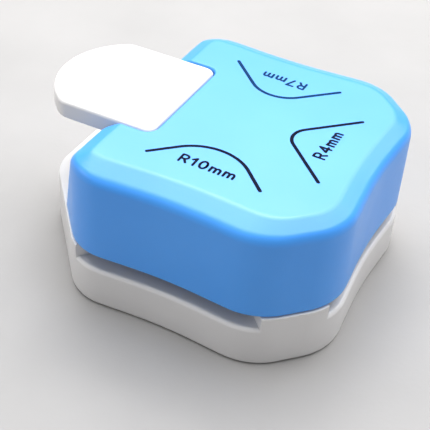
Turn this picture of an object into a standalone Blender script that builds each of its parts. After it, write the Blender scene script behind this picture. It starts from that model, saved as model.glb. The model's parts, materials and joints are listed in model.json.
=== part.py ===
"""Three-way corner rounder punch: a lever pushes a three-lobed steel punch through a die plate.

Frame: +X points away from the finger lever, +Y towards the 7 mm slot, +Z up.
The origin is on the table, under the middle of the whole object. Dimensions are in millimetres.
"""
import math

import bmesh
import bpy
from mathutils import Matrix, Vector

MM = 0.001
GAP = 0.3                      # clearance between pieces that rest on or fit in each other

# Outside of the body
TOP_Z = 31.5                   # flat top of the shell and of the lever pad
PARTING_Z = 11.9               # where the blue shell meets the white base
FLOOR_Z = 8.95                 # paper table inside the three slots
FAR_X = 34.9                   # wall opposite the lever
HALF_W = 30.3                  # half width across the two side slots
CHAMFER = 10.8                 # leg of the two corners away from the lever
CHAMFER_R = 12.5
WAIST = 0.75                   # how far each slotted side is drawn in at its middle
SHOULDER_X = -14.0             # where the sides turn towards the nose
NOSE_X = -32.5                # tip of the base under the lever
NOSE_HALF = 8.5               # half width of the nose tip before rounding
SHOULDER_R = 10.0
NOSE_R = 10.5
BASE_PROUD = 0.3               # the base stands this much outside the shell
SKIN = 2.0                     # wall of the shell
SHELL_END_TOP_X = -17.2        # leaning wall of the shell on the lever side
SHELL_END_LOW_X = -23.4
SHELL_SIDE_REACH = 4.5         # the shell's end corners: how far each starts before the bend
SHELL_END_REACH = 4.0
SHELL_END_R = 3.5              # rounding of the end corners where they stay separate
SHELL_SWEEP_RUN = 4.0          # wall length below which shoulder and end corner merge
SHELL_SHARE = (1.13, 0.9, 0.85, 0.75)  # how far sides, far wall, chamfers and shoulders of the top draw in

# Lever
PAD_HALF = 13.6
PAD_TIP_X = -35.2
PAD_TIP_R = 16.1
PAD_INNER_X = -7.4
PAD_THICK = 3.8
ARM_HALF = 7.0
ARM_TOP_Z = 28.4
ARM_LOW_Z = 25.8
PIVOT_X = 27.6
PIVOT_Z = 25.0
HUB_R = 2.9
PIN_R = 1.5

# Cutting set
PUNCH_X = 5.0                  # centre of the punch
CORNER_OUT = 9.4               # from the punch's centre to the corner of the inserted sheet
RADII = (10.0, 4.0, 7.0)       # cutter radii on the -Y, +X and +Y sides
HORN = 0.5                     # side land of each cutting horn
HORN_TIP = 0.33                # how far a horn runs past the rounded corner's end
DIE_HALF = 19.0
DIE_THICK = 1.8
GUIDE_LOW_Z = 12.0
GUIDE_THICK = 2.0
PUNCH_LOW_Z = 12.3
PUNCH_HIGH_Z = 20.5
HEAD_THICK = 2.0
SPRING_R = 2.2
WIRE_R = 0.2
SPRING_TURNS = 3.5             # few enough that the coil still has room at full stroke

# Places of fasteners and springs: (x, y) of one, mirrored in y for its twin
SHELL_SCREWS = ((-15.0, 21.5), (26.4, 21.5))
PLATE_SCREWS = ((-10.5, 14.5), (20.5, 14.5))
SPRINGS = ((-6.0, 7.5), (17.3, 8.5))
BRACKET_SCREW = (25.4, 4.2)
HEAD_SCREW_Y = 6.0

# Underside
CAVITY_TOP_Z = 5.0
PLATE_LOW_Z = 0.4
PLATE_HIGH_Z = 3.4
COVER_HALF = 8.6
COVER_NEAR_X = -31.6
COVER_FAR_X = 16.4
WINDOW_HALF = 7.4

COLOURS = {                    # base colour, metallic, roughness
    "blue_abs": ((0.24, 0.70, 0.95, 1), 0.0, 0.35),
    "white_abs": ((0.85, 0.85, 0.84, 1), 0.0, 0.4),
    "tray_abs": ((0.70, 0.70, 0.69, 1), 0.0, 0.5),
    "tool_steel": ((0.42, 0.42, 0.44, 1), 1.0, 0.35),
    "plate_steel": ((0.62, 0.63, 0.65, 1), 1.0, 0.3),
    "spring_steel": ((0.55, 0.56, 0.58, 1), 1.0, 0.25),
    "screw_steel": ((0.70, 0.70, 0.71, 1), 1.0, 0.28),
}


def material(name):
    """The named Principled material, made on first use."""
    found = bpy.data.materials.get(name)
    if found:
        return found
    colour, metallic, roughness = COLOURS[name]
    made = bpy.data.materials.new(name)
    made.use_nodes = True
    shader = made.node_tree.nodes["Principled BSDF"]
    shader.inputs["Base Color"].default_value = colour
    shader.inputs["Metallic"].default_value = metallic
    shader.inputs["Roughness"].default_value = roughness
    return made


# ---------------------------------------------------------------- plane outlines

def arc(cx, cy, radius, start, end, count):
    """Points on an arc from start to end, in degrees, both ends included."""
    angles = [math.radians(start + (end - start) * i / count) for i in range(count + 1)]
    return [(cx + radius * math.cos(a), cy + radius * math.sin(a)) for a in angles]


def circle(cx, cy, radius, count):
    return arc(cx, cy, radius, 0, 360, count)[:-1]


def rounded(corners):
    """A closed outline from (x, y, radius, steps) corners, each replaced by an arc."""
    points = []
    for i, (x, y, radius, steps) in enumerate(corners):
        here = Vector((x, y))
        before = Vector(corners[i - 1][:2]) - here
        after = Vector(corners[(i + 1) % len(corners)][:2]) - here
        if radius <= 0:
            points.append((x, y))
            continue
        points += fillet(here, before.normalized(), after.normalized(), radius, steps)
    return points


def fillet(here, before, after, radius, steps):
    """The arc that rounds the corner at here, between the directions before and after."""
    half = before.angle(after) / 2
    centre = here + (before + after).normalized() * (radius / math.sin(half))
    first = here + before * (radius / math.tan(half)) - centre
    last = here + after * (radius / math.tan(half)) - centre
    turn = first.angle_signed(last)
    points = []
    for i in range(steps + 1):
        spoke = Matrix.Rotation(-turn * i / steps, 2) @ first
        points.append(tuple(centre + spoke))
    return points


def box_outline(x0, x1, y0, y1):
    return [(x0, y0), (x1, y0), (x1, y1), (x0, y1)]


def meet(p, u, q, v):
    """Where the line through p along u meets the line through q along v."""
    cross = u.x * v.y - u.y * v.x
    return p + u * (((q - p).x * v.y - (q - p).y * v.x) / cross)


def body_outline(inset, end_x, end_r, share=(1.0, 1.0, 1.0, 1.0)):
    """The plan shared by shell and base, ending at end_x on the lever side.

    It is drawn in by inset times share: of the slotted sides, the far wall, the chamfers
    and the shoulders. The corners of the lever end have radius end_r where there is room for them.
    """
    side_in, far_in, cut_in, shoulder_in = (inset * part for part in share)
    along_x = Vector((1, 0))
    along_y = Vector((0, 1))
    slant = Vector((NOSE_X - SHOULDER_X, NOSE_HALF - HALF_W)).normalized()
    inward = Vector((-slant.y, slant.x))
    shoulder = Vector((SHOULDER_X, HALF_W)) + inward * shoulder_in
    side = Vector((0, HALF_W - side_in))
    far = Vector((FAR_X - far_in, 0))
    bevel = Vector((FAR_X - CHAMFER, HALF_W)) - Vector((1, 1)).normalized() * cut_in
    end = Vector((end_x, 0))
    chamfer_r = max(CHAMFER_R - inset, 1.0)
    shoulder_r = max(SHOULDER_R - inset, 0.8)
    cut = Vector((1, -1)).normalized()
    far_corner = meet(far, along_y, bevel, cut)
    side_corner = meet(side, along_x, bevel, cut)
    bend = meet(side, along_x, shoulder, slant)
    tip = meet(end, along_y, shoulder, slant)
    upper = fillet(far_corner, -along_y, -cut, chamfer_r, 5)
    upper += fillet(side_corner, cut, -along_x, chamfer_r, 5)
    lower = end_corner(bend, tip, slant, shoulder_r, end_r)
    far_half = waist(Vector((far.x, 0)), Vector(upper[0]), along_x, 0.0, 3)
    flank = waist(Vector(upper[-1]), Vector(lower[0]), along_y, -1.0, 8)
    half = far_half + upper + flank + lower + [(end_x, 0.0)]
    mirrored = [(x, -y) for x, y in reversed(half[1:-1])]
    return half + mirrored


def end_corner(bend, tip, slant, bend_r, end_r):
    """The shoulder bend and the end corner; as the wall between them runs out they become one sweep."""
    run = (tip - bend).dot(slant)
    turn = math.acos(max(-1.0, min(1.0, -slant.x))) / 2
    need = bend_r * math.tan(turn) + end_r * math.tan(math.pi / 4 - turn)
    scale = min(1.0, max(run, 0.02) / (need * 1.02))
    corner = fillet(bend, Vector((1, 0)), slant, bend_r * scale, 3)
    corner += fillet(tip, -slant, Vector((0, -1)), end_r * scale, 4)
    weight = max(0.0, min(1.0, run / SHELL_SWEEP_RUN))
    sweep = end_sweep(bend, tip, len(corner) - 1)
    return [tuple(Vector(a).lerp(Vector(b), weight)) for a, b in zip(sweep, corner)]


def end_sweep(bend, tip, steps):
    """A smooth corner from the side, past bend and tip, onto the lever-side wall."""
    if tip.y > bend.y:
        bend = tip = Vector((tip.x, bend.y))
    start = bend + Vector((SHELL_SIDE_REACH, 0))
    finish = tip - Vector((0, SHELL_END_REACH))
    points = []
    for i in range(steps + 1):
        t = i / steps
        u = 1 - t
        points.append(tuple(start * u ** 3 + bend * 3 * u * u * t + tip * 3 * u * t * t + finish * t ** 3))
    return points


def waist(start, finish, outward, first, steps):
    """Points from start towards finish, drawn in smoothly; first is -1 for a whole side, 0 for half."""
    points = []
    for i in range(steps):
        part = i / steps
        place = first + (1 - first) * part
        pull = WAIST * (1 - place * place) ** 1.5
        point = start.lerp(finish, part) - outward * pull
        if i or first == 0.0:
            points.append(tuple(point))
    return points


def pad_outline(inset):
    """The lever's finger pad: a straight-sided plate with a round outer end."""
    half = PAD_HALF - inset
    radius = PAD_TIP_R - inset
    centre = PAD_TIP_X + PAD_TIP_R
    swing = math.degrees(math.asin(half / radius))
    end = arc(centre, 0, radius, 180 - swing, 180 + swing, 14)
    inner = PAD_INNER_X - inset
    corners = [(inner, -half, 2.0, 4), (inner, half, 2.0, 4)]
    corners += [(x, y, 0, 0) for x, y in end]
    return rounded(corners)


def lobe(radius, direction, grow):
    """One cutting lobe of the punch, seen from above, running anticlockwise."""
    reach = CORNER_OUT + radius / math.sqrt(2) + HORN_TIP + grow
    width = radius / math.sqrt(2) + HORN + grow
    hollow = radius - grow
    middle = CORNER_OUT + radius * math.sqrt(2)
    foot = hollow / math.sqrt(2)
    tip = foot + reach - (middle - foot)
    local = [(reach, -width), (reach, -tip)]
    local += [(middle + x, y) for x, y in arc(0, 0, hollow, 225, 135, 8)]
    local += [(reach, tip), (reach, width)]
    out = Vector((math.cos(math.radians(direction)), math.sin(math.radians(direction))))
    side = Vector((-out.y, out.x))
    centre = Vector((PUNCH_X, 0))
    return [tuple(centre + out * a + side * b) for a, b in local]


def half_width(radius, grow):
    return radius / math.sqrt(2) + HORN + grow


def punch_outline(grow):
    """The three-lobed punch, or its opening when grow is above zero."""
    wide, small, middle = (half_width(r, grow) for r in RADII)
    points = lobe(RADII[0], -90, grow) + [(PUNCH_X + wide, -small)]
    points += lobe(RADII[1], 0, grow) + [(PUNCH_X + middle, small)]
    points += lobe(RADII[2], 90, grow) + [(PUNCH_X - middle, small), (PUNCH_X - wide, small)]
    return points


# ---------------------------------------------------------------- solids

def new_object(name, mesh_data, finish):
    made = bpy.data.objects.new(name, mesh_data)
    bpy.context.scene.collection.objects.link(made)
    if finish:
        made.data.materials.append(material(finish))
    return made


def loft(name, rings, finish=None, smooth=True):
    """A closed solid through rings of (x, y, z) points in millimetres."""
    shape = bmesh.new()
    rows = [[shape.verts.new(Vector(p) * MM) for p in ring] for ring in rings]
    count = len(rows[0])
    for low, high in zip(rows, rows[1:]):
        for i in range(count):
            j = (i + 1) % count
            shape.faces.new((low[i], low[j], high[j], high[i]))
    shape.faces.new(list(reversed(rows[0])))
    shape.faces.new(rows[-1])
    bmesh.ops.recalc_face_normals(shape, faces=shape.faces)
    mesh_data = bpy.data.meshes.new(name)
    shape.to_mesh(mesh_data)
    shape.free()
    if smooth:
        mesh_data.shade_smooth()
        mesh_data.set_sharp_from_angle(angle=math.radians(30))
    return new_object(name, mesh_data, finish)


def level(outline, z):
    return [(x, y, z) for x, y in outline]


def prism(name, outline, low, high, finish=None):
    return loft(name, [level(outline, low), level(outline, high)], finish)


def side_prism(name, outline, y0, y1, finish=None):
    """A prism along Y from an outline of (x, z) points."""
    return loft(name, [[(x, y, z) for x, z in outline] for y in (y0, y1)], finish)


def turned(name, x, y, profile, count, finish=None):
    """A round solid on a vertical axis through (z, radius) steps."""
    return loft(name, [level(circle(x, y, r, count), z) for z, r in profile], finish)


def turned_across(name, x, z, profile, count, finish=None):
    """A round solid on an axis along Y through (y, radius) steps."""
    rings = [[(px, y, pz) for px, pz in circle(x, z, r, count)] for y, r in profile]
    return loft(name, rings, finish)


def combine(target, others, operation):
    """Unites others with target, or cuts them out of it, and hides them as cutters."""
    for other in others:
        step = target.modifiers.new(operation.lower() + "_" + other.name, "BOOLEAN")
        step.operation = operation
        step.solver = "EXACT"
        step.object = other
        other.hide_render = True
        other.display_type = "WIRE"
    return target


def cut(target, *others):
    return combine(target, others, "DIFFERENCE")


def unite(target, *others):
    return combine(target, others, "UNION")


def twins(places):
    """Each (x, y) place and its mirror image."""
    return [(x, y * side) for x, y in places for side in (-1, 1)]


def pegs(name, places, low, high, radius, count=12):
    """One cutter for each place."""
    return [turned(f"{name}_{i}", x, y, [(low, radius), (high, radius)], count)
            for i, (x, y) in enumerate(places, 1)]


# ---------------------------------------------------------------- casings

def end_wall_x(z, inset):
    """The leaning lever-side wall of the shell at height z."""
    rise = (z - PARTING_Z) / (TOP_Z - PARTING_Z)
    return SHELL_END_LOW_X + (SHELL_END_TOP_X - SHELL_END_LOW_X) * rise + inset


def shell_ring(z, inset):
    return level(body_outline(inset, end_wall_x(z, 0.73 * inset), SHELL_END_R, SHELL_SHARE), z)


def make_shell():
    low = PARTING_Z + 0.1
    profile = ((4.9, 0.25), (3.7, 0.46), (2.8, 1.03), (2.2, 1.9), (1.0, 3.2), (0.28, 4.0), (0.0, 5.1))
    rings = [shell_ring(low, 0.0)] + [shell_ring(TOP_Z - drop, inset) for drop, inset in profile]
    shell = loft("top_shell", rings, "blue_abs")
    hollow = loft("shell_hollow", [shell_ring(low - 1, SKIN), shell_ring(TOP_Z - 5.0, SKIN + 0.25),
                                   shell_ring(TOP_Z - 3.2, SKIN + 1.2), shell_ring(TOP_Z - 2.2, SKIN + 3.2)])
    posts = pegs("shell_post", twins(SHELL_SCREWS), low + GAP, TOP_Z + 5, 3.2, 16)
    cut(hollow, *posts)
    notch = loft("lever_notch", [notch_ring(z) for z in (15.5, TOP_Z + 2)])
    holes = pegs("shell_post_hole", twins(SHELL_SCREWS), low - 1, 20.0, 1.0 + GAP)
    return cut(shell, hollow, notch, *holes)


def notch_ring(z):
    """The opening for the lever, with rounded lips where it leaves the leaning wall."""
    half = PAD_HALF + 0.45
    lip = 3.2
    mouth = end_wall_x(z, 0.0)
    inner = PAD_INNER_X + 0.45
    outside = SHELL_END_LOW_X - 8
    upper = arc(mouth + lip, half + lip, lip, 270, 180, 4)
    outline = [(outside, -half - lip)]
    outline += [(x, -y) for x, y in reversed(upper)]
    outline += fillet(Vector((inner, -half)), Vector((-1, 0)), Vector((0, 1)), 2.4, 4)
    outline += fillet(Vector((inner, half)), Vector((0, -1)), Vector((-1, 0)), 2.4, 4)
    outline += upper + [(outside, half + lip)]
    return level(outline, z)


def base_ring(z, inset):
    return level(body_outline(inset - BASE_PROUD, NOSE_X + inset, NOSE_R), z)


def slot_outline(direction):
    """The V-shaped pocket that a sheet's corner slides into."""
    deep = 40.0
    out = Vector((math.cos(math.radians(direction)), math.sin(math.radians(direction))))
    side = Vector((-out.y, out.x))
    corner = Vector((PUNCH_X, 0)) + out * CORNER_OUT
    mouth = corner + out * deep
    return [tuple(corner), tuple(mouth - side * deep), tuple(mouth + side * deep)]


def make_base():
    top = PARTING_Z - 0.1
    base = loft("base", [base_ring(0.0, 0.5),
                         base_ring(0.5, 0.0),
                         base_ring(top - 0.3, 0.0),
                         base_ring(top, 0.3)], "white_abs")
    hollow = loft("base_hollow", [base_ring(-1.0, 2.4), base_ring(CAVITY_TOP_Z, 2.4)])
    columns = pegs("base_column", twins(SHELL_SCREWS), PLATE_HIGH_Z + GAP, CAVITY_TOP_Z + 2, 3.6, 16)
    cut(hollow, *columns)
    slots = [prism(f"slot_{angle + 90}", slot_outline(angle), FLOOR_Z, PARTING_Z + 5)
             for angle in (-90, 0, 90)]
    reach = DIE_HALF + GAP
    pocket = prism("die_pocket", box_outline(PUNCH_X - reach, PUNCH_X + reach, -reach, reach),
                   FLOOR_Z - DIE_THICK - 0.35, PARTING_Z + 5)
    window = prism("chip_window", punch_outline(1.5), CAVITY_TOP_Z - 1, FLOOR_Z)
    mouth = prism("cover_mouth", box_outline(NOSE_X - 5, NOSE_X + 8, -COVER_HALF - GAP, COVER_HALF + GAP),
                  -1.0, 2.8)
    holes = pegs("base_hole", twins(SHELL_SCREWS), 0.0, PARTING_Z + 1, 1.0 + GAP)
    holes += pegs("base_plate_hole", twins(PLATE_SCREWS), CAVITY_TOP_Z - 1, FLOOR_Z, 1.0 + GAP)
    return cut(base, hollow, *slots, pocket, window, mouth, *holes)


def make_bottom_plate():
    plate = loft("bottom_plate", [level(body_outline(2.4 + GAP - BASE_PROUD, NOSE_X + 2.4 + GAP, NOSE_R - 2.5), z)
                                  for z in (PLATE_LOW_Z, PLATE_HIGH_Z)], "tray_abs")
    groove = prism("cover_groove", box_outline(NOSE_X - 5, COVER_FAR_X + GAP, -COVER_HALF - GAP,
                                               COVER_HALF + GAP), 1.0, 2.8)
    below = prism("window_below", box_outline(NOSE_X - 5, COVER_FAR_X - 1.5, -WINDOW_HALF, WINDOW_HALF),
                  -1.0, 1.4)
    above = prism("window_above", box_outline(-20.0, COVER_FAR_X - 1.5, -WINDOW_HALF, WINDOW_HALF),
                  2.4, 5.0)
    holes = pegs("bottom_hole", twins(SHELL_SCREWS), 0.0, 5.0, 1.0 + GAP)
    heads = pegs("bottom_head_room", twins(SHELL_SCREWS), -1.0, 2.5, 2.7, 16)
    return cut(plate, groove, below, above, *holes, *heads)


def make_chip_cover():
    """The sliding cover of the chip tray, with grip ribs under its outer end."""
    cover = prism("chip_cover", rounded([(COVER_NEAR_X, -COVER_HALF, 1.5, 3),
                                         (COVER_FAR_X, -COVER_HALF, 1.0, 3),
                                         (COVER_FAR_X, COVER_HALF, 1.0, 3),
                                         (COVER_NEAR_X, COVER_HALF, 1.5, 3)]), 1.3, 2.5, "tray_abs")
    ribs = [prism(f"grip_rib_{i}", box_outline(x, x + 0.9, -6, 6), 0.6, 1.6)
            for i, x in enumerate((-29.5, -27.3, -25.1), 1)]
    return unite(cover, *ribs)


# ---------------------------------------------------------------- lever and pivot

def arm_outline():
    """Side view of the lever's arm: plate, pressing nose over the punch, and hub."""
    hub = arc(PIVOT_X, PIVOT_Z, HUB_R, 105, -196, 20)
    press = arc(PUNCH_X, ARM_LOW_Z + 0.3, 3.0, 0, -180, 8)
    outline = [(-19.0, ARM_TOP_Z), (PIVOT_X - 4.5, ARM_TOP_Z)] + hub
    outline += press + [(-14.0, ARM_LOW_Z), (-19.0, ARM_TOP_Z - 0.6)]
    return outline


def make_lever():
    low = TOP_Z - PAD_THICK
    lever = loft("lever", [level(pad_outline(inset), z) for z, inset in
                           ((low, 0.6), (low + 0.5, 0.0), (TOP_Z - 0.7, 0.0),
                            (TOP_Z - 0.2, 0.2), (TOP_Z, 0.7))], "white_abs")
    arm = side_prism("lever_arm", arm_outline(), -ARM_HALF, ARM_HALF)
    ribs = [prism(f"lever_rib_{i}", box_outline(-6.0, 20.0, y, y + 1.5), ARM_LOW_Z, ARM_TOP_Z + 0.6)
            for i, y in enumerate((-8.1, 6.6), 1)]
    spine = [prism(f"pad_rib_{i}", box_outline(-29.0, -9.0, y, y + 1.4), 26.6, low + 0.8)
             for i, y in enumerate((-10.9, 9.5), 1)]
    bore = turned_across("lever_bore", PIVOT_X, PIVOT_Z, [(-9, PIN_R + GAP), (9, PIN_R + GAP)], 20)
    unite(lever, arm, *ribs, *spine)
    return cut(lever, bore)


def make_pivot():
    foot = GUIDE_LOW_Z + GUIDE_THICK + GAP
    bracket = prism("pivot_bracket", box_outline(22.3, 30.6, -8.9, 8.9), foot, foot + 1.2, "plate_steel")
    ear = [(23.6, foot + 0.4), (30.4, foot + 0.4)] + arc(PIVOT_X, PIVOT_Z, 3.1, 0, 180, 10)
    ears = [side_prism(f"bracket_ear_{i}", ear, y, y + 1.5) for i, y in enumerate((-8.9, 7.4), 1)]
    unite(bracket, *ears)
    bore = turned_across("bracket_bore", PIVOT_X, PIVOT_Z, [(-12, PIN_R + GAP), (12, PIN_R + GAP)], 20)
    holes = pegs("bracket_hole", twins([BRACKET_SCREW]), foot - 1, foot + 3, 1.2)
    cut(bracket, bore, *holes)
    turned_across("pivot_pin", PIVOT_X, PIVOT_Z,
                  [(-10.9, 1.2), (-10.6, PIN_R), (10.6, PIN_R), (10.9, 1.2)], 16, "plate_steel")
    for i, y in enumerate((-10.0, 9.2), 1):
        clip = turned_across(f"pin_clip_{i}", PIVOT_X, PIVOT_Z, [(y, 3.0), (y + 0.8, 3.0)], 16, "spring_steel")
        cut(clip, turned_across(f"clip_bore_{i}", PIVOT_X, PIVOT_Z, [(y - 1, 1.8), (y + 2, 1.8)], 16))


# ---------------------------------------------------------------- cutting set

def make_die_plate():
    die = prism("die_plate", box_outline(PUNCH_X - DIE_HALF, PUNCH_X + DIE_HALF, -DIE_HALF, DIE_HALF),
                FLOOR_Z - 0.05 - DIE_THICK, FLOOR_Z - 0.05, "tool_steel")
    opening = prism("die_opening", punch_outline(GAP), 0, FLOOR_Z + 3)
    holes = pegs("die_hole", twins(PLATE_SCREWS), 0, FLOOR_Z + 3, 1.0 + GAP)
    return cut(die, opening, *holes)


def make_fences():
    """Spacers between die and guide whose slanted edges stop the sheet in each slot."""
    wide, small, middle = (half_width(r, 0.4) for r in RADII)
    edge = PUNCH_X + DIE_HALF
    low = FLOOR_Z + 0.25
    high = GUIDE_LOW_Z - GAP
    for name, width, side in (("fence_front", wide, -1), ("fence_back", middle, 1)):
        half = [(PUNCH_X + width, CORNER_OUT + width), (PUNCH_X + width, small),
                (PUNCH_X + CORNER_OUT + small, small), (edge, edge - PUNCH_X - CORNER_OUT),
                (edge, DIE_HALF), (PUNCH_X + DIE_HALF - CORNER_OUT, DIE_HALF)]
        fence = prism(name, [(x, y * side) for x, y in half], low, high, "white_abs")
        cut(fence, *pegs(f"{name}_hole", [(PLATE_SCREWS[1][0], PLATE_SCREWS[1][1] * side)],
                         low - 1, high + 1, 1.0 + GAP))
    outer = PUNCH_X - DIE_HALF
    lever_side = [(outer, -DIE_HALF), (PUNCH_X - DIE_HALF + CORNER_OUT, -DIE_HALF),
                  (PUNCH_X - wide, -CORNER_OUT - wide), (PUNCH_X - wide, small),
                  (PUNCH_X - middle, small), (PUNCH_X - middle, CORNER_OUT + middle),
                  (PUNCH_X - DIE_HALF + CORNER_OUT, DIE_HALF), (outer, DIE_HALF)]
    fence = prism("fence_lever_side", lever_side, low, high, "white_abs")
    cut(fence, *pegs("fence_lever_side_hole", twins([PLATE_SCREWS[0]]), low - 1, high + 1, 1.0 + GAP))


def make_guide_plate():
    high = GUIDE_LOW_Z + GUIDE_THICK
    corners = [(PUNCH_X - DIE_HALF, -18.2), (30.6, -18.2), (30.6, 18.2), (PUNCH_X - DIE_HALF, 18.2)]
    guide = prism("guide_plate", rounded([(x, y, 1.5, 3) for x, y in corners]),
                  GUIDE_LOW_Z, high, "plate_steel")
    opening = prism("guide_opening", punch_outline(GAP), GUIDE_LOW_Z - 1, high + 1)
    holes = pegs("guide_hole", twins(PLATE_SCREWS), GUIDE_LOW_Z - 1, high + 1, 1.0 + GAP)
    holes += pegs("guide_bracket_hole", twins([BRACKET_SCREW]), GUIDE_LOW_Z - 1, high + 1, 1.2)
    return cut(guide, opening, *holes)


def make_punch():
    block = prism("punch_block", punch_outline(0.0), PUNCH_LOW_Z, PUNCH_HIGH_Z, "tool_steel")
    cut(block, *pegs("block_hole", twins([(PUNCH_X, HEAD_SCREW_Y)]), PUNCH_HIGH_Z - 5.0,
                     PUNCH_HIGH_Z + 1, 1.2))
    low = PUNCH_HIGH_Z + GAP
    high = low + HEAD_THICK
    corners = [(-9.2, -11.5), (20.2, -11.5), (20.2, 11.5), (-9.2, 11.5)]
    head = prism("punch_head", rounded([(x, y, 3.0, 4) for x, y in corners]), low, high, "plate_steel")
    places = twins([(PUNCH_X, HEAD_SCREW_Y)])
    cut(head, *pegs("head_hole", places, low - 1, high + 1, 1.2),
        *pegs("head_sink", places, high - 1.1, high + 1, 2.2, 16))


def make_spring(name, x, y, low, high):
    """A compression coil: a round wire swept along a helix."""
    around, per_turn = 6, 12
    steps = int(SPRING_TURNS * per_turn)
    pitch = (high - low - 2 * WIRE_R) / SPRING_TURNS
    rings = []
    for i in range(steps + 1):
        angle = 2 * math.pi * i / per_turn
        out = Vector((math.cos(angle), math.sin(angle), 0))
        along = Vector((-out.y * SPRING_R, out.x * SPRING_R, pitch / (2 * math.pi))).normalized()
        up = out.cross(along).normalized()
        middle = Vector((x, y, low + WIRE_R + pitch * i / per_turn)) + out * SPRING_R
        spokes = [2 * math.pi * k / around for k in range(around)]
        rings.append([tuple(middle + (out * math.cos(a) + up * math.sin(a)) * WIRE_R) for a in spokes])
    return loft(name, rings, "spring_steel")


# ---------------------------------------------------------------- fasteners

def screw(name, x, y, head, shank, flip=False):
    """A round-headed screw; head and shank are (z0, z1, radius), flip puts the head below."""
    low, high, head_r = head
    start, end, shank_r = shank
    tip = 0.5
    if flip:
        profile = [(low, head_r), (high, head_r), (high, shank_r), (end - tip, shank_r), (end, shank_r * 0.4)]
    else:
        profile = [(start, shank_r * 0.4), (start + tip, shank_r), (low, shank_r), (low, head_r), (high, head_r)]
    body = turned(name, x, y, profile, 12, "screw_steel")
    depth = 0.6
    face = low if flip else high
    bars = [prism(f"{name}_drive_{i}", box_outline(x - a, x + a, y - b, y + b), face - depth, face + depth)
            for i, (a, b) in enumerate(((0.95, 0.22), (0.22, 0.95)), 1)]
    return cut(body, *bars)


def make_fasteners():
    guide_top = GUIDE_LOW_Z + GUIDE_THICK
    for i, (x, y) in enumerate(twins(SHELL_SCREWS), 1):
        screw(f"shell_screw_{i}", x, y, (0.8, 2.2, 2.3), (2.2, 18.5, 1.0), flip=True)
    for i, (x, y) in enumerate(twins(PLATE_SCREWS), 1):
        screw(f"plate_screw_{i}", x, y, (guide_top + GAP, guide_top + 1.5, 1.9),
              (CAVITY_TOP_Z + 0.5, guide_top, 1.0))
    for i, (x, y) in enumerate(twins([BRACKET_SCREW]), 1):
        foot_top = guide_top + GAP + 1.2
        screw(f"bracket_screw_{i}", x, y, (foot_top + GAP, foot_top + 1.4, 1.8),
              (GUIDE_LOW_Z + 0.2, foot_top, 0.9))
    head_top = PUNCH_HIGH_Z + GAP + HEAD_THICK
    for i, (x, y) in enumerate(twins([(PUNCH_X, HEAD_SCREW_Y)]), 1):
        screw(f"punch_screw_{i}", x, y, (head_top - 0.8, head_top - 0.05, 1.9),
              (PUNCH_HIGH_Z - 4.5, head_top - 1.0, 0.9))


def main():
    for old in list(bpy.data.objects):
        bpy.data.objects.remove(old)
    make_base()
    make_bottom_plate()
    make_chip_cover()
    make_die_plate()
    make_fences()
    make_guide_plate()
    make_punch()
    make_pivot()
    make_lever()
    make_shell()
    for i, (x, y) in enumerate(twins(SPRINGS), 1):
        make_spring(f"return_spring_{i}", x, y, GUIDE_LOW_Z + GUIDE_THICK + 0.2, PUNCH_HIGH_Z + GAP - 0.2)
    make_fasteners()


main()
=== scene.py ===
import json
import math

import bmesh
import bpy
from mathutils import Matrix, Vector


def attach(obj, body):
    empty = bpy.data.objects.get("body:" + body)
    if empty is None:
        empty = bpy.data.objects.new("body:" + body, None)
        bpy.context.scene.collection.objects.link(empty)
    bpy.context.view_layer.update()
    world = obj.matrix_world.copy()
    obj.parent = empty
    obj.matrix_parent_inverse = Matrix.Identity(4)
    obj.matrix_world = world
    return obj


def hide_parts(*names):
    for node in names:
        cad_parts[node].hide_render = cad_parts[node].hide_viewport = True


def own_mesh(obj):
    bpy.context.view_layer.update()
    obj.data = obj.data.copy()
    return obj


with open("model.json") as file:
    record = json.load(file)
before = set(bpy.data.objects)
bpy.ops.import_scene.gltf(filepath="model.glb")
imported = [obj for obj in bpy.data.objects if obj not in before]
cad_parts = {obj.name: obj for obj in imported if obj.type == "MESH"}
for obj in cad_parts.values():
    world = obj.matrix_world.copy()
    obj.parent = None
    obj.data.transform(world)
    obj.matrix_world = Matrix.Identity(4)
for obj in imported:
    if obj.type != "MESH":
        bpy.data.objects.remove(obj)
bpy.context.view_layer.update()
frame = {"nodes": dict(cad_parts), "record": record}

MM = 0.001
FINE = 3                       # how many times finer than the working solids

# The working sizes, in millimetres: heights, plan and lever
TOP_Z = 31.5
PARTING_Z = 11.9
FLOOR_Z = 8.95
FAR_X = 34.9
HALF_W = 30.3
CHAMFER = 10.8
CHAMFER_R = 12.5
WAIST = 0.75
SHOULDER_X = -14.0
NOSE_X = -32.5
NOSE_HALF = 8.5
SHOULDER_R = 10.0
NOSE_R = 10.5
BASE_PROUD = 0.3
SKIN = 2.0
SHELL_END_TOP_X = -17.2
SHELL_END_LOW_X = -23.4
SHELL_SIDE_REACH = 4.5         # the end corners as one sweep: how far it starts before the bend
SHELL_END_REACH = 4.0          # and how far it runs along the end wall
SHELL_END_R = 3.5              # rounding of the end corners where they stay separate
SHELL_SWEEP_RUN = 4.0          # wall length below which shoulder and end corner merge
SHELL_EDGE_R = 0.45            # rounding of the shell's rims
CEILING_DROP = 2.2             # thickness of the shell's top
NOTCH_LOW_Z = 15.5             # floor of the cut for the lever, inside the hollow
NOTCH_GAP = 0.3                # between the lever's pad and the shell
POST_R = 3.2                   # screw posts in the shell
COLUMN_R = 3.6                 # screw columns in the base
BASE_SKIN = 2.4                # wall of the base
COVER_GAP = 0.3                # round the sliding cover
SHELL_SHARE = (1.13, 0.9, 0.85, 0.75)  # how far sides, far wall, chamfers and shoulders draw in
PAD_HALF = 13.6
PAD_TIP_X = -35.2
PAD_TIP_R = 16.1
PAD_INNER_X = -7.4
PAD_THICK = 3.8
PAD_EDGE_R = 0.75              # rounding of the pad's upper edge
ARM_HALF = 7.0
ARM_TOP_Z = 28.4
ARM_LOW_Z = 25.8
PIVOT_X = 27.6
PIVOT_Z = 25.0
HUB_R = 2.9
BORE_R = 1.8
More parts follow.
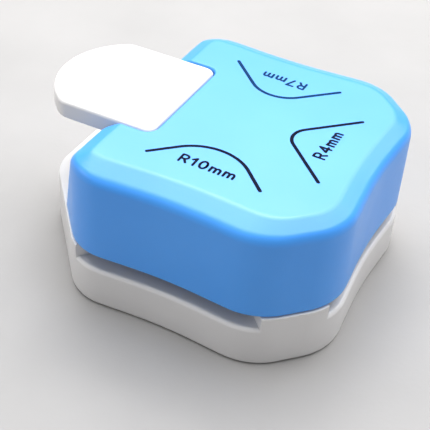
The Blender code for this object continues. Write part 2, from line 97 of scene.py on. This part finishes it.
PUNCH_X = 5.0
CORNER_OUT = 9.4
RADII = (10.0, 4.0, 7.0)
HORN = 0.5
HORN_TIP = 0.33
DIE_REACH = 19.3
LIP_R = 0.8
SHELL_SCREWS = ((-15.0, 21.5), (26.4, 21.5))
PLATE_SCREWS = ((-10.5, 14.5), (20.5, 14.5))
COVER_HALF = 8.6
SCREW_HOLE = 1.3

# Printed marks: centre, distance to each virtual corner, arm length, line width
MARK_X = 6.35
MARK_OUT = 7.85
MARK_ARM = 16.2
MARK_WIDTH = 0.72
MARK_HIGH = 0.03
LETTER_HIGH = 2.75
LETTER_WIDTH = 0.5
LETTER_GAP = 0.13


# ------------------------------------------------------------ materials

class Nodes:
    """A small helper that adds and links nodes of one material."""

    def __init__(self, name):
        self.material = bpy.data.materials.new(name)
        self.material.use_nodes = True
        self.tree = self.material.node_tree
        self.shader = self.tree.nodes["Principled BSDF"]
        coordinates = self.add("ShaderNodeTexCoord")
        self.place = coordinates.outputs["Object"]

    def add(self, kind, **settings):
        node = self.tree.nodes.new(kind)
        for key, value in settings.items():
            if hasattr(node, key):
                setattr(node, key, value)
            else:
                node.inputs[key.replace("_", " ").title()].default_value = value
        return node

    def link(self, source, target):
        self.tree.links.new(source, target)

    def set(self, **values):
        for key, value in values.items():
            self.shader.inputs[key.replace("_", " ")].default_value = value

    def stretched(self, x, y, z):
        mapping = self.add("ShaderNodeMapping")
        mapping.inputs["Scale"].default_value = (x, y, z)
        self.link(self.place, mapping.inputs["Vector"])
        return mapping.outputs["Vector"]

    def noise(self, scale, detail=3.0, vector=None):
        node = self.add("ShaderNodeTexNoise", scale=scale, detail=detail)
        self.link(vector or self.place, node.inputs["Vector"])
        return node.outputs["Fac"]

    def ramp(self, value, stops):
        node = self.add("ShaderNodeValToRGB")
        ramp = node.color_ramp
        while len(ramp.elements) < len(stops):
            ramp.elements.new(0.5)
        for element, (place, colour) in zip(ramp.elements, stops):
            element.position = place
            element.color = (*colour, 1) if len(colour) == 3 else colour
        self.link(value, node.inputs["Fac"])
        return node.outputs["Color"]

    def span(self, value, low, high):
        node = self.add("ShaderNodeMapRange")
        node.inputs["To Min"].default_value = low
        node.inputs["To Max"].default_value = high
        self.link(value, node.inputs["Value"])
        return node.outputs["Result"]

    def bump(self, height, strength, distance):
        node = self.add("ShaderNodeBump")
        node.inputs["Strength"].default_value = strength
        node.inputs["Distance"].default_value = distance
        self.link(height, node.inputs["Height"])
        return node

    def colour(self, output):
        self.link(output, self.shader.inputs["Base Color"])

    def roughness(self, output):
        self.link(output, self.shader.inputs["Roughness"])

    def normal(self, node):
        self.link(node.outputs["Normal"], self.shader.inputs["Normal"])


def moulded_plastic(name, shade, tint, rough, grain=0.16):
    """Satin moulded plastic: faint colour drift, fine spark-eroded grain, handling marks."""
    kit = Nodes(name)
    drift = kit.noise(38.0, 3.0)
    kit.colour(kit.ramp(drift, [(0.35, shade), (0.65, tint)]))
    smudge = kit.noise(120.0, 5.0)
    kit.roughness(kit.span(smudge, rough - 0.05, rough + 0.09))
    fine = kit.noise(2600.0, 2.0)
    low = kit.bump(kit.noise(260.0, 3.0), 0.08, 0.0002)
    high = kit.bump(fine, grain, 0.00006)
    kit.link(low.outputs["Normal"], high.inputs["Normal"])
    kit.normal(high)
    kit.set(IOR=1.58)
    return kit.material


def brushed_metal(name, dark, light, rough, scale):
    """Steel with fine lines along X and duller patches."""
    kit = Nodes(name)
    lines = kit.noise(scale, 4.0, kit.stretched(0.03, 1.0, 1.0))
    kit.colour(kit.ramp(lines, [(0.3, dark), (0.7, light)]))
    kit.roughness(kit.span(kit.noise(300.0, 4.0), rough - 0.06, rough + 0.12))
    kit.normal(kit.bump(lines, 0.25, 0.00004))
    kit.set(Metallic=1.0)
    return kit.material


def ink(name, shade, tint):
    """Pad-printed ink: slightly uneven cover and a duller surface than the plastic."""
    kit = Nodes(name)
    kit.colour(kit.ramp(kit.noise(900.0, 4.0), [(0.35, shade), (0.7, tint)]))
    kit.roughness(kit.span(kit.noise(1500.0, 3.0), 0.6, 0.75))
    kit.normal(kit.bump(kit.noise(3000.0, 2.0), 0.15, 0.00003))
    kit.shader.inputs["Specular IOR Level"].default_value = 0.06
    return kit.material


BLUE = moulded_plastic("blue_plastic", (0.050, 0.325, 0.91), (0.060, 0.350, 0.94), 0.33)
WHITE = moulded_plastic("white_plastic", (0.70, 0.685, 0.675), (0.74, 0.725, 0.715), 0.38)
TRAY = moulded_plastic("tray_plastic", (0.66, 0.65, 0.64), (0.70, 0.69, 0.68), 0.48, 0.3)
TOOL = brushed_metal("tool_steel", (0.20, 0.20, 0.21), (0.36, 0.36, 0.38), 0.34, 1400.0)
PLATE = brushed_metal("plated_steel", (0.50, 0.50, 0.52), (0.66, 0.67, 0.69), 0.27, 900.0)
SPRING = brushed_metal("spring_wire", (0.42, 0.43, 0.46), (0.60, 0.61, 0.64), 0.24, 2200.0)
SCREW = brushed_metal("screw_nickel", (0.55, 0.54, 0.52), (0.72, 0.71, 0.69), 0.25, 1800.0)
INK_DARK = ink("ink_dark", (0.002, 0.003, 0.013), (0.004, 0.005, 0.020))
INK_BLUE = ink("ink_blue", (0.003, 0.030, 0.095), (0.005, 0.040, 0.12))


# ------------------------------------------------------------ outlines

def arc(cx, cy, radius, start, end, count):
    angles = [math.radians(start + (end - start) * i / count) for i in range(count + 1)]
    return [(cx + radius * math.cos(a), cy + radius * math.sin(a)) for a in angles]


def circle(cx, cy, radius, count):
    return arc(cx, cy, radius, 0, 360, count)[:-1]


def fillet(here, before, after, radius, steps):
    """The arc that rounds the corner at here, between the directions before and after."""
    half = before.angle(after) / 2
    centre = here + (before + after).normalized() * (radius / math.sin(half))
    first = here + before * (radius / math.tan(half)) - centre
    last = here + after * (radius / math.tan(half)) - centre
    turn = first.angle_signed(last)
    return [tuple(centre + Matrix.Rotation(-turn * i / steps, 2) @ first) for i in range(steps + 1)]


def rounded(corners):
    points = []
    for i, (x, y, radius, steps) in enumerate(corners):
        here = Vector((x, y))
        before = (Vector(corners[i - 1][:2]) - here).normalized()
        after = (Vector(corners[(i + 1) % len(corners)][:2]) - here).normalized()
        points += fillet(here, before, after, radius, steps) if radius > 0 else [(x, y)]
    return points


def box_outline(x0, x1, y0, y1):
    return [(x0, y0), (x1, y0), (x1, y1), (x0, y1)]


def meet(p, u, q, v):
    """Where the line through p along u meets the line through q along v."""
    cross = u.x * v.y - u.y * v.x
    return p + u * (((q - p).x * v.y - (q - p).y * v.x) / cross)


def waist(start, finish, outward, first, steps):
    """Points of a slotted side, drawn in smoothly towards its middle."""
    points = []
    for i in range(steps):
        part = i / steps
        place = first + (1 - first) * part
        pull = WAIST * (1 - place * place) ** 1.5
        if i or first == 0.0:
            points.append(tuple(start.lerp(finish, part) - outward * pull))
    return points


def end_corner(bend, tip, slant, bend_r, end_r):
    """The shoulder bend and the end corner; as the wall between them runs out they become one sweep."""
    run = (tip - bend).dot(slant)
    turn = math.acos(max(-1.0, min(1.0, -slant.x))) / 2
    need = bend_r * math.tan(turn) + end_r * math.tan(math.pi / 4 - turn)
    scale = min(1.0, max(run, 0.02) / (need * 1.02))
    corner = fillet(bend, Vector((1, 0)), slant, bend_r * scale, 4 * FINE)
    corner += fillet(tip, -slant, Vector((0, -1)), end_r * scale, 4 * FINE - 1)
    weight = max(0.0, min(1.0, run / SHELL_SWEEP_RUN))
    sweep = end_sweep(bend, tip, len(corner) - 1)
    return [tuple(Vector(a).lerp(Vector(b), weight)) for a, b in zip(sweep, corner)]


def end_sweep(bend, tip, steps):
    """A smooth corner from the side, past bend and tip, onto the lever-side wall."""
    if tip.y > bend.y:
        bend = tip = Vector((tip.x, bend.y))
    start = bend + Vector((SHELL_SIDE_REACH, 0))
    finish = tip - Vector((0, SHELL_END_REACH))
    points = []
    for i in range(steps + 1):
        t = i / steps
        u = 1 - t
        points.append(tuple(start * u ** 3 + bend * 3 * u * u * t + tip * 3 * u * t * t + finish * t ** 3))
    return points


def body_outline(inset, end_x, end_r, share=(1.0, 1.0, 1.0, 1.0)):
    """The plan shared by shell and base, ending at end_x on the lever side.

    It is drawn in by inset times share: of the slotted sides, the far wall, the chamfers
    and the shoulders. The corners of the lever end have radius end_r where there is room for them.
    """
    side_in, far_in, cut_in, shoulder_in = (inset * part for part in share)
    along_x = Vector((1, 0))
    along_y = Vector((0, 1))
    slant = Vector((NOSE_X - SHOULDER_X, NOSE_HALF - HALF_W)).normalized()
    inward = Vector((-slant.y, slant.x))
    cut = Vector((1, -1)).normalized()
    shoulder = Vector((SHOULDER_X, HALF_W)) + inward * shoulder_in
    side = Vector((0, HALF_W - side_in))
    far = Vector((FAR_X - far_in, 0))
    bevel = Vector((FAR_X - CHAMFER, HALF_W)) - Vector((1, 1)).normalized() * cut_in
    bend = meet(side, along_x, shoulder, slant)
    tip = meet(Vector((end_x, 0)), along_y, shoulder, slant)
    chamfer_r = max(CHAMFER_R - inset, 1.0)
    upper = fillet(meet(far, along_y, bevel, cut), -along_y, -cut, chamfer_r, 5 * FINE)
    upper += fillet(meet(side, along_x, bevel, cut), cut, -along_x, chamfer_r, 5 * FINE)
    lower = end_corner(bend, tip, slant, max(SHOULDER_R - inset, 0.8), end_r)
    far_half = waist(Vector((far.x, 0)), Vector(upper[0]), along_x, 0.0, 4 * FINE)
    flank = waist(Vector(upper[-1]), Vector(lower[0]), along_y, -1.0, 9 * FINE)
    half = far_half + upper + flank + lower + [(end_x, 0.0)]
    return half + [(x, -y) for x, y in reversed(half[1:-1])]


def pad_outline(inset):
    """The lever's finger pad: a round tip, and rounded corners where it meets the shell."""
    half = PAD_HALF - inset
    radius = PAD_TIP_R - inset
    swing = math.degrees(math.asin(half / radius))
    end = arc(PAD_TIP_X + PAD_TIP_R, 0, radius, 180 - swing, 180 + swing, 18 * FINE)
    upper = Vector(end[0])
    inner = PAD_INNER_X - inset
    corner = 1.1
    top = fillet(Vector((inner, half)), Vector((0, -1)), Vector((-1, 0)), 2.0, 3 * FINE)
    keep = [p for p in end if (Vector(p) - upper).length > corner and p[1] > 0.01]
    shoulder = blend(Vector((upper.x + corner, half)), upper, Vector(keep[0]), 2 * FINE)
    half_path = top + shoulder + keep[1:]
    middle = [(end[len(end) // 2][0], 0.0)]
    mirrored = [(x, -y) for x, y in reversed(half_path)]
    return half_path + middle + mirrored


def blend(start, corner, finish, steps):
    """A quadratic curve that rounds a blunt corner."""
    points = []
    for i in range(steps + 1):
        t = i / steps
        points.append(tuple(start * (1 - t) ** 2 + corner * 2 * t * (1 - t) + finish * t * t))
    return points


def half_width(radius, grow):
    return radius / math.sqrt(2) + HORN + grow


def lobe(radius, direction, grow):
    reach = CORNER_OUT + radius / math.sqrt(2) + HORN_TIP + grow
    width = half_width(radius, grow)
    hollow = radius - grow
    middle = CORNER_OUT + radius * math.sqrt(2)
    foot = hollow / math.sqrt(2)
    tip = foot + reach - (middle - foot)
    local = [(reach, -width), (reach, -tip)]
    local += [(middle + x, y) for x, y in arc(0, 0, hollow, 225, 135, 8 * FINE)]
    local += [(reach, tip), (reach, width)]
    out = Vector((math.cos(math.radians(direction)), math.sin(math.radians(direction))))
    side = Vector((-out.y, out.x))
    centre = Vector((PUNCH_X, 0))
    return [tuple(centre + out * a + side * b) for a, b in local]


def punch_outline(grow):
    wide, small, middle = (half_width(r, grow) for r in RADII)
    points = lobe(RADII[0], -90, grow) + [(PUNCH_X + wide, -small)]
    points += lobe(RADII[1], 0, grow) + [(PUNCH_X + middle, small)]
    points += lobe(RADII[2], 90, grow) + [(PUNCH_X - middle, small), (PUNCH_X - wide, small)]
    return points


# ------------------------------------------------------------ solids

def add_loft(shape, rings):
    """Adds to a bmesh the closed solid that runs through rings of equally many points."""
    rows = [[shape.verts.new(Vector(p) * MM) for p in ring] for ring in rings]
    count = len(rows[0])
    for low, high in zip(rows, rows[1:]):
        for i in range(count):
            j = (i + 1) % count
            shape.faces.new((low[i], low[j], high[j], high[i]))
    shape.faces.new(list(reversed(rows[0])))
    shape.faces.new(rows[-1])


def loft(name, *ring_sets, finish=None):
    """One object made of one or more closed lofts."""
    shape = bmesh.new()
    for rings in ring_sets:
        add_loft(shape, rings)
    bmesh.ops.recalc_face_normals(shape, faces=shape.faces)
    mesh_data = bpy.data.meshes.new(name)
    shape.to_mesh(mesh_data)
    shape.free()
    made = bpy.data.objects.new(name, mesh_data)
    bpy.context.scene.collection.objects.link(made)
    if finish:
        mesh_data.materials.append(finish)
    return made


def level(outline, z):
    return [(x, y, z) for x, y in outline]


def prism(name, outline, low, high, finish=None):
    return loft(name, [level(outline, low), level(outline, high)], finish=finish)


def side_prism(name, outline, y0, y1, finish=None):
    return loft(name, [[(x, y, z) for x, z in outline] for y in (y0, y1)], finish=finish)


def peg(name, x, y, low, high, radius):
    return prism(name, circle(x, y, radius, 24), low, high)


def combine(target, others, operation):
    for other in others:
        step = target.modifiers.new(operation.lower(), "BOOLEAN")
        step.operation = operation
        step.solver = "EXACT"
        step.object = other
    return target


def settle(target, helpers):
    """Applies the modifiers of target and removes the helper objects."""
    bpy.context.view_layer.update()
    graph = bpy.context.evaluated_depsgraph_get()
    made = bpy.data.meshes.new_from_object(target.evaluated_get(graph))
    old = target.data
    target.modifiers.clear()
    target.data = made
    bpy.data.meshes.remove(old)
    for helper in helpers:
        bpy.data.objects.remove(helper)
    return target


def soften(target, width, segments=3, angle=35):
    """Rounds the sharp edges of a moulding and shades it smooth."""
    step = target.modifiers.new("soften", "BEVEL")
    step.width = width * MM
    step.segments = segments
    step.limit_method = "ANGLE"
    step.angle_limit = math.radians(angle)
    step.use_clamp_overlap = False
    step.miter_outer = "MITER_ARC"
    flat = target.modifiers.new("even_shading", "WEIGHTED_NORMAL")
    flat.weight = 100
    target.data.shade_smooth()
    return settle(target, [])


def smooth(target, angle=30):
    """Smooth shading that keeps the flat faces flat and the edges above angle crisp."""
    target.data.shade_smooth()
    target.data.set_sharp_from_angle(angle=math.radians(angle))
    step = target.modifiers.new("even_shading", "WEIGHTED_NORMAL")
    step.weight = 100
    step.keep_sharp = True
    return settle(target, [])


def twins(places):
    return [(x, y * side) for x, y in places for side in (-1, 1)]


# ------------------------------------------------------------ shell

def end_wall_x(z, inset):
    rise = (z - PARTING_Z) / (TOP_Z - PARTING_Z)
    return SHELL_END_LOW_X + (SHELL_END_TOP_X - SHELL_END_LOW_X) * rise + inset


def shell_ring(z, inset):
    return level(body_outline(inset, end_wall_x(z, 0.73 * inset), SHELL_END_R, SHELL_SHARE), z)


def shell_profile():
    """(drop from the top, inset) pairs: up the wall, round the edge, over the band to the crease."""
    draft, edge_r, turn, crease = 0.25, 2.5, 65, 4.5
    slope = math.tan(math.radians(90 - turn))
    turned = [(edge_r * math.sin(math.radians(a)), draft + edge_r * (1 - math.cos(math.radians(a))))
              for a in (turn * i / 10 for i in range(11))]
    rise, inset = turned[-1]
    low = rise + slope * (crease - inset)
    points = [(TOP_Z - PARTING_Z - 0.1, 0.0), (low + 6, 0.12)] + [(low - up, inn) for up, inn in turned]
    points.append((slope * (crease - inset) * 0.5, (crease + inset) / 2))
    band = Vector((crease - 0.6, 0.6 * slope))
    for x, y in blend(band, Vector((crease, 0.0)), Vector((crease + 0.6, 0.0)), 6):
        points.append((y, x))
    return points


def notch_ring(z):
    half = PAD_HALF + NOTCH_GAP
    lip = 3.2
    mouth = end_wall_x(z, 0.0)
    inner = PAD_INNER_X + NOTCH_GAP
    outside = SHELL_END_LOW_X - 8
    upper = arc(mouth + lip, half + lip, lip, 270, 180, 4 * FINE)
    outline = [(outside, -half - lip)]
    outline += [(x, -y) for x, y in reversed(upper)]
    outline += fillet(Vector((inner, -half)), Vector((-1, 0)), Vector((0, 1)), 2.4, 3 * FINE)
    outline += fillet(Vector((inner, half)), Vector((0, -1)), Vector((-1, 0)), 2.4, 3 * FINE)
    outline += upper + [(outside, half + lip)]
    return level(outline, z)


def make_shell():
    """The blue shell: rounded while it is solid, so that only its outside is, and hollowed after."""
    rings = [shell_ring(TOP_Z - drop, inset) for drop, inset in shell_profile()]
    shell = loft("shell_moulding", rings, finish=BLUE)
    notch = loft("notch", [notch_ring(z) for z in (NOTCH_LOW_Z, TOP_Z + 2)])
    combine(shell, [notch], "DIFFERENCE")
    settle(shell, [notch])
    soften(shell, SHELL_EDGE_R)
    hollow = loft("hollow", [shell_ring(PARTING_Z - 1, SKIN), shell_ring(TOP_Z - 5.0, SKIN + 0.25),
                             shell_ring(TOP_Z - 3.2, SKIN + 1.2),
                             shell_ring(TOP_Z - CEILING_DROP, SKIN + 3.2)])
    posts = [peg("post", x, y, PARTING_Z + 0.4, TOP_Z + 5, POST_R) for x, y in twins(SHELL_SCREWS)]
    combine(hollow, posts, "DIFFERENCE")
    holes = [peg("hole", x, y, PARTING_Z - 1, 20.0, SCREW_HOLE) for x, y in twins(SHELL_SCREWS)]
    combine(shell, [hollow, *holes], "DIFFERENCE")
    settle(shell, [hollow, *posts, *holes])
    smooth(shell, 45)
    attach(shell, "body")
    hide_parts("top_shell")


# ------------------------------------------------------------ base

def base_ring(z, inset):
    return level(body_outline(inset - BASE_PROUD, NOSE_X + inset, NOSE_R), z)


def slot_outline(direction):
    deep = 40.0
    out = Vector((math.cos(math.radians(direction)), math.sin(math.radians(direction))))
    side = Vector((-out.y, out.x))
    corner = Vector((PUNCH_X, 0)) + out * CORNER_OUT
    mouth = corner + out * deep
    return [tuple(corner), tuple(mouth - side * deep), tuple(mouth + side * deep)]


def quarter(z, inset, radius, rising, steps=6):
    """(z, inset) pairs of a rounded edge that ends at height z with the given last inset."""
    turns = [math.radians(90 * i / steps) for i in range(steps + 1)]
    pairs = [(z - rising * radius * (1 - math.sin(a)), inset - radius * math.cos(a)) for a in turns]
    return pairs if rising > 0 else pairs[::-1]


def slot_cutter(index, direction):
    """The wedge that a sheet goes into, with a rounded lip where its floor meets the wall."""
    wedge = prism(f"slot_{index}", slot_outline(direction), FLOOR_Z - LIP_R, PARTING_Z + 5)
    rings = [base_ring(FLOOR_Z - 3, 0.0)]
    rings += [base_ring(z, inset) for z, inset in quarter(FLOOR_Z, LIP_R, LIP_R, 1)]
    sill = loft(f"sill_{index}", rings)
    return settle(combine(wedge, [sill], "DIFFERENCE"), [sill])


def make_base():
    """The white base: outer loft, open underneath, with the three slots and the pocket for the die."""
    top = PARTING_Z - 0.1
    rings = [base_ring(z, inset) for z, inset in quarter(0.0, 0.9, 0.9, -1)]
    rings += [base_ring(4.0, 0.0)] + [base_ring(z, inset) for z, inset in quarter(top, 0.28, 0.28, 1, 3)]
    base = loft("base_moulding", rings, finish=WHITE)
    hollow = loft("hollow", [base_ring(-1.0, BASE_SKIN), base_ring(5.0, BASE_SKIN)])
    columns = [peg("column", x, y, 3.7, 7.0, COLUMN_R) for x, y in twins(SHELL_SCREWS)]
    combine(hollow, columns, "DIFFERENCE")
    slots = [slot_cutter(i, angle) for i, angle in enumerate((-90, 0, 90))]
    pocket = prism("pocket", box_outline(PUNCH_X - DIE_REACH, PUNCH_X + DIE_REACH, -DIE_REACH, DIE_REACH),
                   6.8, PARTING_Z + 5)
    window = prism("window", punch_outline(1.5), 4.0, FLOOR_Z)
    mouth_half = COVER_HALF + COVER_GAP
    mouth = prism("mouth", box_outline(NOSE_X - 5, NOSE_X + 8, -mouth_half, mouth_half), -1.0, 2.8)
    holes = [peg("hole", x, y, 0.0, PARTING_Z + 1, SCREW_HOLE) for x, y in twins(SHELL_SCREWS)]
    holes += [peg("hole", x, y, 4.0, FLOOR_Z, SCREW_HOLE) for x, y in twins(PLATE_SCREWS)]
    cutters = [hollow, *slots, pocket, window, mouth, *holes]
    combine(base, cutters, "DIFFERENCE")
    settle(base, cutters + columns)
    smooth(base)
    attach(base, "body")
    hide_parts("base")


# ------------------------------------------------------------ lever

def arm_outline():
    """Side view of the lever's arm: plate, pressing nose over the punch, and hub."""
    hub = arc(PIVOT_X, PIVOT_Z, HUB_R, 105, -196, 40)
    press = arc(PUNCH_X, ARM_LOW_Z + 0.3, 3.0, 0, -180, 20)
    outline = [(-19.0, ARM_TOP_Z), (PIVOT_X - 4.5, ARM_TOP_Z)] + hub
    return outline + press + [(-14.0, ARM_LOW_Z), (-19.0, ARM_TOP_Z - 0.6)]


def make_lever():
    """The white lever: finger pad, arm with ribs, and the bore for the hinge pin."""
    low = TOP_Z - PAD_THICK
    edge = PAD_EDGE_R
    rings = [(low, 0.9), (low, 0.6), (low + 0.09, 0.25), (low + 0.3, 0.06), (low + 0.6, 0.0)]
    rings += [(low + 1.8, 0.0)]
    rings += [(TOP_Z - edge + edge * math.sin(math.radians(a)), edge - edge * math.cos(math.radians(a)))
              for a in (0, 15, 30, 45, 60, 75, 90)]
    lever = loft("lever_moulding", [level(pad_outline(inset), z) for z, inset in rings], finish=WHITE)
    arm = side_prism("arm", arm_outline(), -ARM_HALF, ARM_HALF)
    ribs = [prism("rib", box_outline(-6.0, 20.0, y, y + 1.5), ARM_LOW_Z, ARM_TOP_Z + 0.6)
            for y in (-8.1, 6.6)]
    spine = [prism("spine", box_outline(-29.0, -9.0, y, y + 1.4), 26.6, low + 0.8)
             for y in (-10.9, 9.5)]
    bore = side_prism("bore", circle(PIVOT_X, PIVOT_Z, BORE_R, 32), -9.0, 9.0)
    combine(lever, [arm, *ribs, *spine], "UNION")
    combine(lever, [bore], "DIFFERENCE")
    settle(lever, [arm, bore, *ribs, *spine])
    soften(lever, 0.18, 2, 50)
    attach(lever, "lever_body")
    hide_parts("lever")


# ------------------------------------------------------------ printed marks

def mark_path(radius):
    """Arm, arc, arm of one full-size corner sample, pointing out along +X."""
    s = math.sqrt(0.5)
    tangent = Vector((s, s))
    centre = Vector((radius * math.sqrt(2), 0))
    points = [tangent * MARK_ARM]
    points += [Vector(p) for p in arc(centre.x, 0, radius, 135, 225, 40)]
    points.append(Vector((s, -s)) * MARK_ARM)
    return points


def cap(end, direction, half):
    side = Vector((-direction.y, direction.x))
    return [end + (side * math.cos(math.radians(a)) + direction * math.sin(math.radians(a))) * half
            for a in (30, 60, 90, 120, 150)]


def ribbon(path, width):
    """The outline of a printed line with round ends along a path."""
    path = [Vector(p) for p in path]
    half = width / 2
    left, right = [], []
    for i, point in enumerate(path):
        along = (path[min(i + 1, len(path) - 1)] - path[max(i - 1, 0)]).normalized()
        across = Vector((-along.y, along.x)) * half
        left.append(point + across)
        right.append(point - across)
    first = (path[0] - path[1]).normalized()
    last = (path[-1] - path[-2]).normalized()
    return left + cap(path[-1], last, half) + right[::-1] + cap(path[0], first, half)


def placed_ink(name, outlines, turn, shift, finish):
    """Printed outlines, turned about the origin and moved to their place on the top.

    Each is a hair higher than the one before, so that crossing strokes don't share a face.
    """
    rotation = Matrix.Rotation(math.radians(turn), 2)
    stacks = []
    for i, outline in enumerate(outlines):
        flat = [tuple(rotation @ p + shift) for p in outline]
        stacks.append([level(flat, TOP_Z - 0.05), level(flat, TOP_Z + MARK_HIGH + 0.002 * i)])
    made = loft(name, *stacks, finish=finish)
    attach(made, "body")


def glyph(letter):
    """(width, strokes) of one character, for a capital height of 1."""
    bowl = [(0.1, 0.9), (0.36, 0.9)] + arc(0.36, 0.68, 0.22, 90, -90, 12) + [(0.1, 0.46)]
    ring = [(0.36 + 0.25 * x, 0.5 + 0.4 * y) for x, y in circle(0, 0, 1, 32)]
    arches = [[(x, 0.1)] + arc(x + 0.17, 0.4, 0.17, 180, 0, 10) + [(x + 0.34, 0.1)] for x in (0.1, 0.44)]
    return {
        "R": (0.74, [[(0.1, 0.1), (0.1, 0.9)], bowl, [(0.36, 0.46), (0.6, 0.1)]]),
        "1": (0.42, [[(0.04, 0.68), (0.28, 0.9)], [(0.28, 0.9), (0.28, 0.1)]]),
        "0": (0.72, [ring + ring[:2]]),
        "4": (0.74, [[(0.5, 0.1), (0.5, 0.9)], [(0.5, 0.9), (0.08, 0.34)], [(0.08, 0.34), (0.66, 0.34)]]),
        "7": (0.66, [[(0.06, 0.9), (0.56, 0.9)], [(0.56, 0.9), (0.2, 0.1)]]),
        "m": (0.88, [[(0.1, 0.1), (0.1, 0.6)], *arches]),
    }[letter]


def word_outlines(words):
    """Ribbons of a size number, starting at the origin with its feet on the X axis."""
    outlines, start = [], 0.0
    for letter in words:
        width, strokes = glyph(letter)
        for stroke in strokes:
            path = [((start + x) * LETTER_HIGH, y * LETTER_HIGH) for x, y in stroke]
            outlines.append(ribbon(path, LETTER_WIDTH))
        start += width + LETTER_GAP
    return outlines


def make_marks():
    words = ((10, -90, INK_DARK, (0.9, -19.05), 0), (4, 0, INK_DARK, (24.2, -4.6), 90),
             (7, 90, INK_BLUE, (11.15, 18.65), 180))
    for radius, direction, finish, feet, turn in words:
        out = Vector((math.cos(math.radians(direction)), math.sin(math.radians(direction))))
        shift = Vector((MARK_X, 0)) + out * MARK_OUT
        line = ribbon(mark_path(radius), MARK_WIDTH)
        placed_ink(f"mark_line_{radius}mm", [line], direction, shift, finish)
        placed_ink(f"mark_text_{radius}mm", word_outlines(f"R{radius}mm"), turn, Vector(feet), finish)


# ------------------------------------------------------------ carried-over solids

def finish_nodes():
    """Better materials on the working solids that keep their shape."""
    groups = {"white": WHITE, "tray": TRAY, "tool": TOOL, "plate": PLATE, "spring": SPRING, "screw": SCREW}
    slots = {row["node"]: row["material_slot"] for row in frame["record"]["subparts"]}
    for node, piece in frame["nodes"].items():
        finish = groups.get(slots[node].split("_")[0])
        if finish:
            piece.data.materials.clear()
            piece.data.materials.append(finish)


def weld(target):
    """Joins the doubled vertices of a copied mesh, so that its surface is closed."""
    work = bmesh.new()
    work.from_mesh(target.data)
    bmesh.ops.remove_doubles(work, verts=work.verts, dist=0.001 * MM)
    work.to_mesh(target.data)
    work.free()


def make_springs():
    """The return springs, which shorten as the punch comes down onto the paper."""
    slide = next(row for row in frame["record"]["behaviour"]["joints"] if row["name"] == "punch_slide")
    for row in slide["deforming_nodes"]:
        node = frame["nodes"][row["node"]]
        spring = bpy.data.objects.new(row["node"].replace("return", "coil"), node.data.copy())
        spring.matrix_world = node.matrix_world.copy()
        bpy.context.scene.collection.objects.link(spring)
        weld(spring)
        spring.data.materials.clear()
        spring.data.materials.append(SPRING)
        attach(spring, "body")
        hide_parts(row["node"])
        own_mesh(spring)


# ------------------------------------------------------------ studio

def make_floor():
    kit = Nodes("floor_paper")
    kit.colour(kit.ramp(kit.noise(30.0, 4.0), [(0.3, (0.36, 0.352, 0.347)), (0.7, (0.39, 0.381, 0.376))]))
    kit.normal(kit.bump(kit.noise(900.0, 4.0), 0.12, 0.0002))
    kit.set(Roughness=0.85)
    size = 1.5
    mesh_data = bpy.data.meshes.new("floor")
    mesh_data.from_pydata([(-size, -size, 0), (size, -size, 0), (size, size, 0), (-size, size, 0)], [],
                          [(0, 1, 2, 3)])
    mesh_data.materials.append(kit.material)
    floor = bpy.data.objects.new("floor", mesh_data)
    bpy.context.scene.collection.objects.link(floor)


def area_light(name, place, aim, size, power, colour=(1, 1, 1)):
    data = bpy.data.lights.new(name, "AREA")
    data.shape = "RECTANGLE"
    data.size, data.size_y = size
    data.energy = power
    data.color = colour
    lamp = bpy.data.objects.new(name, data)
    lamp.location = place
    lamp.rotation_euler = (Vector(aim) - Vector(place)).to_track_quat("-Z", "Y").to_euler()
    bpy.context.scene.collection.objects.link(lamp)


def make_lights():
    area_light("softbox", (-0.06, 0.27, 0.66), (0, 0, 0.02), (1.2, 1.0), 14.5)
    area_light("strip", (-0.16, 0.34, 0.62), (0, 0, 0.02), (0.30, 0.12), 1.2)
    area_light("fill_left", (-0.60, -0.35, 0.28), (0, 0, 0.02), (0.3, 0.3), 0.7)
    world = bpy.data.worlds.new("studio")
    world.use_nodes = True
    background = world.node_tree.nodes["Background"]
    background.inputs["Color"].default_value = (0.95, 0.97, 1.0, 1)
    background.inputs["Strength"].default_value = 0.38
    bpy.context.scene.world = world
    bpy.context.scene.view_settings.view_transform = "Standard"


def make_camera():
    """The viewing angle of the product picture: high, from the corner between two slots."""
    azimuth, elevation, roll = (math.radians(a) for a in (24.1, 38.73, 4.65))
    target = Vector((14.1, -29.45, 31.54))
    distance = 166.8
    back = Vector((math.sin(azimuth) * math.cos(elevation), -math.cos(azimuth) * math.cos(elevation),
                   math.sin(elevation)))
    level_right = Vector((math.cos(azimuth), math.sin(azimuth), 0))
    level_up = back.cross(level_right)
    right = level_right * math.cos(roll) + level_up * math.sin(roll)
    up = level_up * math.cos(roll) - level_right * math.sin(roll)
    data = bpy.data.cameras.new("camera")
    data.lens = 82.5
    data.sensor_width = 36
    data.clip_start = 0.01
    camera = bpy.data.objects.new("camera", data)
    pose = Matrix((right, up, back)).transposed().to_4x4()
    pose.translation = (target + back * distance) * MM
    camera.matrix_world = pose
    bpy.context.scene.collection.objects.link(camera)
    bpy.context.scene.camera = camera


make_camera()
finish_nodes()
make_springs()
make_shell()
make_base()
make_lever()
make_marks()
make_floor()
make_lights()

bpy.context.view_layer.update()
